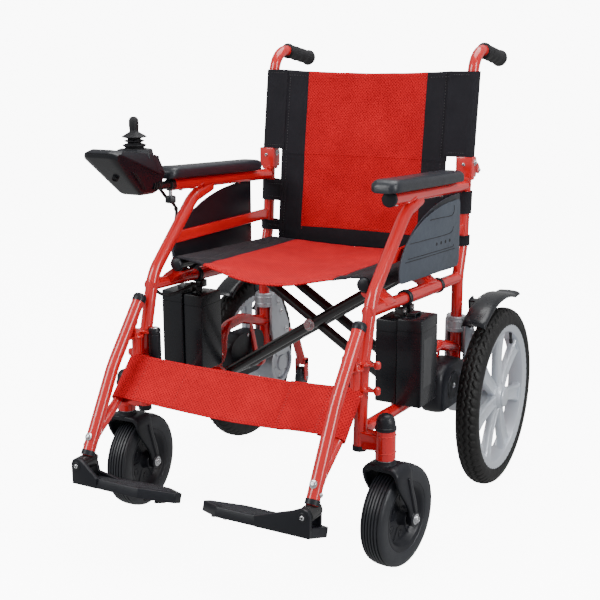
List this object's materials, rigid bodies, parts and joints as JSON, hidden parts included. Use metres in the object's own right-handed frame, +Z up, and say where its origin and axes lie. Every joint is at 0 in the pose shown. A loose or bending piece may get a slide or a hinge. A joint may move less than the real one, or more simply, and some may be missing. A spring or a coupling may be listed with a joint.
{
  "type": "power wheelchair",
  "caption": "Folding power wheelchair with a red tube frame, mesh sling seat, joystick controller, swing-away footrests, front castors and geared rear drive wheels.",
  "frame": {"origin": "middle of the chair's footprint, on the floor", "axes": "+Z up, the chair faces -Y, +X is the occupant's left"},
  "size_m": [0.702, 0.956, 0.975],
  "materials": {
    "red_paint": "gloss red powder coat",
    "black_paint": "satin black powder coat",
    "grey_plastic": "dark grey moulded plastic",
    "arm_pad_foam": "skinned polyurethane foam",
    "grip_rubber": "black moulded rubber",
    "black_plastic": "black moulded plastic",
    "tyre_rubber": "black tyre rubber",
    "wheel_rubber": "black rubber",
    "cast_alloy": "silver painted casting",
    "silver_plastic": "silver moulded plastic",
    "bolt_steel": "zinc plated steel",
    "red_mesh": "red spacer mesh with black woven sides"
  },
  "bodies": {
    "frame_right": {"front_tube_right": "red_paint", "side_rail_right": "red_paint", "lower_rail_right": "red_paint", "back_post_right": "red_paint", "side_panel_right": "grey_plastic", "arm_pad_right": "arm_pad_foam", "caster_head_right": "red_paint", "drive_motor_right": "cast_alloy", "drive_bracket_right": "cast_alloy", "drive_cover_right": "black_plastic", "wheel_fender_right": "black_plastic", "battery_box_right": "black_plastic", "anti_tipper_right": "red_paint", "controller_box": "black_plastic", "controller_arm": "black_paint", "control_cable": "grip_rubber", "back_cloth_lower": "red_mesh"},
    "frame_left": {"front_tube_left": "red_paint", "side_rail_left": "red_paint", "lower_rail_left": "red_paint", "back_post_left": "red_paint", "side_panel_left": "grey_plastic", "arm_pad_left": "arm_pad_foam", "caster_head_left": "red_paint", "drive_motor_left": "cast_alloy", "drive_bracket_left": "cast_alloy", "drive_cover_left": "black_plastic", "wheel_fender_left": "black_plastic", "battery_box_left": "black_plastic", "anti_tipper_left": "red_paint"},
    "brace_a": {"cross_brace_a": "black_paint", "brace_bolts": "bolt_steel", "seat_sling": "red_mesh"},
    "brace_b": {"cross_brace_b": "black_paint"},
    "back_right": {"back_cane_right": "red_paint", "push_grip_right": "grip_rubber", "back_cloth_upper": "red_mesh"},
    "back_left": {"back_cane_left": "red_paint", "push_grip_left": "grip_rubber"},
    "caster_fork_right": {"caster_fork_right": "black_plastic"},
    "caster_wheel_right": {"caster_wheel_right": "tyre_rubber"},
    "drive_wheel_right": {"wheel_rim_right": "silver_plastic", "wheel_tyre_right": "tyre_rubber"},
    "anti_tip_wheel_right": {"anti_tip_wheel_right": "wheel_rubber"},
    "hanger_right": {"leg_hanger_right": "red_paint", "footrest_stem_right": "black_paint", "calf_strap": "red_mesh"},
    "footplate_right": {"footplate_right": "black_plastic"},
    "caster_fork_left": {"caster_fork_left": "black_plastic"},
    "caster_wheel_left": {"caster_wheel_left": "tyre_rubber"},
    "drive_wheel_left": {"wheel_rim_left": "silver_plastic", "wheel_tyre_left": "tyre_rubber"},
    "anti_tip_wheel_left": {"anti_tip_wheel_left": "wheel_rubber"},
    "hanger_left": {"leg_hanger_left": "red_paint", "footrest_stem_left": "black_paint", "calf_strap_end": "red_mesh"},
    "footplate_left": {"footplate_left": "black_plastic"},
    "joystick_gimbal": {"joystick_gimbal": "black_plastic"},
    "joystick_stick": {"joystick_stick": "grip_rubber"},
    "power_button": {"power_button": "grey_plastic"}
  },
  "joints": [
    {"name": "fold", "type": "hinge", "parent": "frame_right", "child": "brace_a", "pos_m": [-0.218, -0.038, 0.2502], "axis": [0, -0.999, 0.0454], "range_deg": [0, 25], "deforming": ["seat_sling", "back_cloth_upper", "back_cloth_lower", "calf_strap", "calf_strap_end"]},
    {"name": "brace_cross", "type": "hinge", "parent": "brace_a", "child": "brace_b", "pos_m": [0, -0.038, 0.389], "axis": [0, -0.999, 0.0454], "range_deg": [-50, 0]},
    {"name": "fold_left", "type": "hinge", "parent": "brace_b", "child": "frame_left", "pos_m": [0.218, -0.038, 0.2502], "axis": [0, -0.999, 0.0454], "range_deg": [0, 25]},
    {"name": "back_fold_right", "type": "hinge", "parent": "frame_right", "child": "back_right", "pos_m": [-0.247, 0.264, 0.722], "axis": [-1, 0, 0], "range_deg": [0, 90]},
    {"name": "back_fold_left", "type": "hinge", "parent": "frame_left", "child": "back_left", "pos_m": [0.247, 0.264, 0.722], "axis": [-1, 0, 0], "range_deg": [0, 90]},
    {"name": "caster_swivel_right", "type": "hinge", "parent": "frame_right", "child": "caster_fork_right", "pos_m": [-0.298, -0.253, 0.25], "axis": [0, 0, 1], "continuous": true},
    {"name": "caster_roll_right", "type": "hinge", "parent": "caster_fork_right", "child": "caster_wheel_right", "pos_m": [-0.30083, -0.20809, 0.1], "axis": [0.998, 0.0628, 0], "continuous": true},
    {"name": "drive_wheel_right", "type": "hinge", "parent": "frame_right", "child": "drive_wheel_right", "pos_m": [-0.326, 0.278, 0.2], "axis": [1, 0, 0], "continuous": true},
    {"name": "anti_tip_roll_right", "type": "hinge", "parent": "frame_right", "child": "anti_tip_wheel_right", "pos_m": [-0.247, 0.417, 0.1225], "axis": [1, 0, 0], "continuous": true},
    {"name": "hanger_swing_right", "type": "hinge", "parent": "frame_right", "child": "hanger_right", "pos_m": [-0.247, -0.279, 0.37], "axis": [0, 0, -1], "range_deg": [0, 90]},
    {"name": "footplate_flip_right", "type": "hinge", "parent": "hanger_right", "child": "footplate_right", "pos_m": [-0.247, -0.4605, 0.187], "axis": [0, -1, 0], "range_deg": [0, 95]},
    {"name": "caster_swivel_left", "type": "hinge", "parent": "frame_left", "child": "caster_fork_left", "pos_m": [0.298, -0.253, 0.25], "axis": [0, 0, 1], "continuous": true},
    {"name": "caster_roll_left", "type": "hinge", "parent": "caster_fork_left", "child": "caster_wheel_left", "pos_m": [0.30348, -0.20834, 0.1], "axis": [0.9925, -0.1219, 0], "continuous": true},
    {"name": "drive_wheel_left", "type": "hinge", "parent": "frame_left", "child": "drive_wheel_left", "pos_m": [0.326, 0.278, 0.2], "axis": [1, 0, 0], "continuous": true},
    {"name": "anti_tip_roll_left", "type": "hinge", "parent": "frame_left", "child": "anti_tip_wheel_left", "pos_m": [0.247, 0.417, 0.1225], "axis": [1, 0, 0], "continuous": true},
    {"name": "hanger_swing_left", "type": "hinge", "parent": "frame_left", "child": "hanger_left", "pos_m": [0.247, -0.279, 0.37], "axis": [0, 0, 1], "range_deg": [0, 90]},
    {"name": "footplate_flip_left", "type": "hinge", "parent": "hanger_left", "child": "footplate_left", "pos_m": [0.247, -0.4605, 0.187], "axis": [0, 1, 0], "range_deg": [0, 95]},
    {"name": "joystick_forward", "type": "hinge", "parent": "frame_right", "child": "joystick_gimbal", "pos_m": [-0.247, -0.26, 0.772], "axis": [1, 0, 0], "range_deg": [-18, 18], "stiffness_Nm_per_rad": 0.2},
    {"name": "joystick_sideways", "type": "hinge", "parent": "joystick_gimbal", "child": "joystick_stick", "pos_m": [-0.247, -0.26, 0.772], "axis": [0, 1, 0], "range_deg": [-18, 18], "stiffness_Nm_per_rad": 0.2},
    {"name": "power_press", "type": "slide", "parent": "frame_right", "child": "power_button", "axis": [0, 0, -1], "range_m": [0, 0.0015], "stiffness_N_per_m": 400}
  ],
  "couplings": [
    {"joint": "brace_cross", "follows": "fold", "ratio": -2},
    {"joint": "fold_left", "follows": "fold", "ratio": 1},
    {"joint": "back_fold_left", "follows": "back_fold_right", "ratio": 1},
    {"joint": "footplate_flip_right", "follows": "fold", "ratio": 3.8},
    {"joint": "footplate_flip_left", "follows": "fold", "ratio": 3.8}
  ]
}
